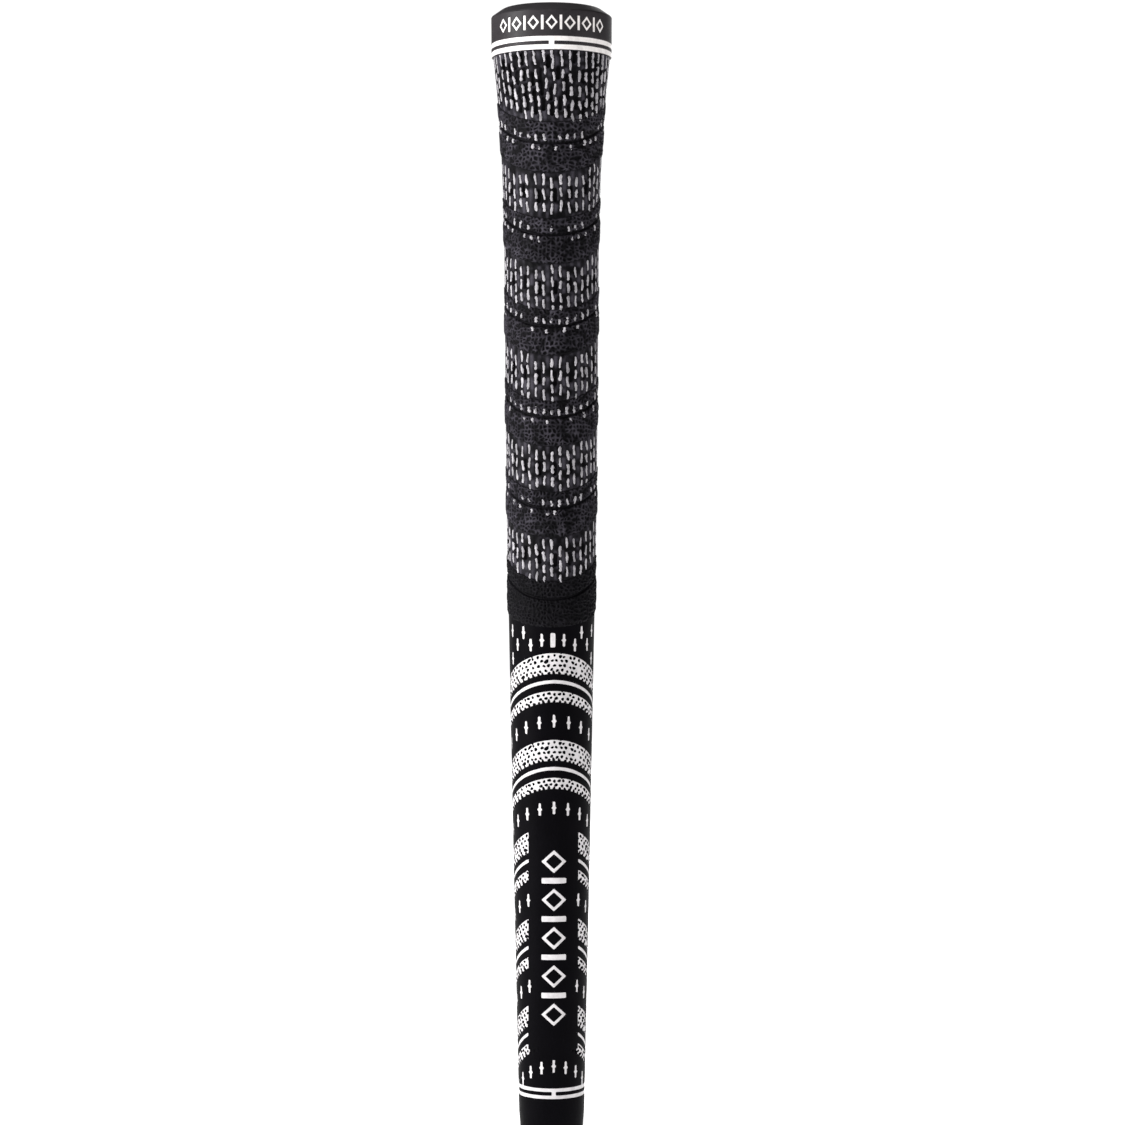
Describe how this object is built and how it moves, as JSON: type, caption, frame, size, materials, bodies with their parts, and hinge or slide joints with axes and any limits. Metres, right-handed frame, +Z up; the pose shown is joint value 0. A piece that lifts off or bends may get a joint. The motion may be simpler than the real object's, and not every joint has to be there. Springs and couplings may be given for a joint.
{
  "type": "golf grip",
  "caption": "Push-on golf grip with a corded rubber upper hand, a smooth lower hand with painted arches, a keyed butt cap with a vent and a tapered bore for the shaft.",
  "frame": {"origin": "centre of the mouth's end face, on the grip's axis, where the shaft goes in", "axes": "+Z up the grip's axis from the mouth to the butt cap; -Y is the front, with the plain panel, its column of marks and the alignment ticks; +X to the right seen from the front"},
  "size_m": [0.0286, 0.0286, 0.267],
  "materials": {
    "cap_rubber": "hard satin moulded rubber",
    "upper_rubber": "matte charcoal rubber, pebbled and corded",
    "lower_rubber": "soft satin near-black rubber",
    "inner_rubber": "matte black rubber",
    "cotton_cord": "raw ground cotton",
    "cap_paint": "off-white enamel",
    "groove_paint": "off-white enamel"
  },
  "bodies": {
    "root": {"butt_cap": "cap_rubber", "cap_upper_ring_fill": "cap_paint", "cap_lower_ring_fill": "cap_paint", "cap_tick_fill": "cap_paint", "cap_badge_fill": "cap_paint", "inner_sleeve": "inner_rubber", "cord_ply": "cotton_cord", "upper_panel_front": "upper_rubber", "upper_panel_back": "upper_rubber", "lower_panel_front": "lower_rubber", "lower_panel_back": "lower_rubber", "arch_1_wide_fill": "groove_paint", "arch_2_wide_fill": "groove_paint", "arch_3_wide_fill": "groove_paint", "arch_4_wide_fill": "groove_paint", "arch_5_wide_fill": "groove_paint", "arch_1_line_fill": "groove_paint", "arch_2_line_fill": "groove_paint", "arch_3_line_fill": "groove_paint", "arch_4_line_fill": "groove_paint", "arch_5_line_fill": "groove_paint", "arch_1_narrow_fill": "groove_paint", "arch_2_narrow_fill": "groove_paint", "arch_3_narrow_fill": "groove_paint", "arch_4_narrow_fill": "groove_paint", "arch_5_narrow_fill": "groove_paint", "dash_row_1_fill": "groove_paint", "dash_row_2_fill": "groove_paint", "dash_row_3_fill": "groove_paint", "dash_row_4_fill": "groove_paint", "dash_row_5_fill": "groove_paint", "joint_dash_fill": "groove_paint", "panel_mark_fill": "groove_paint", "tip_upper_ring_fill": "groove_paint", "tip_lower_ring_fill": "groove_paint", "tip_tick_fill": "groove_paint"}
  },
  "joints": []
}
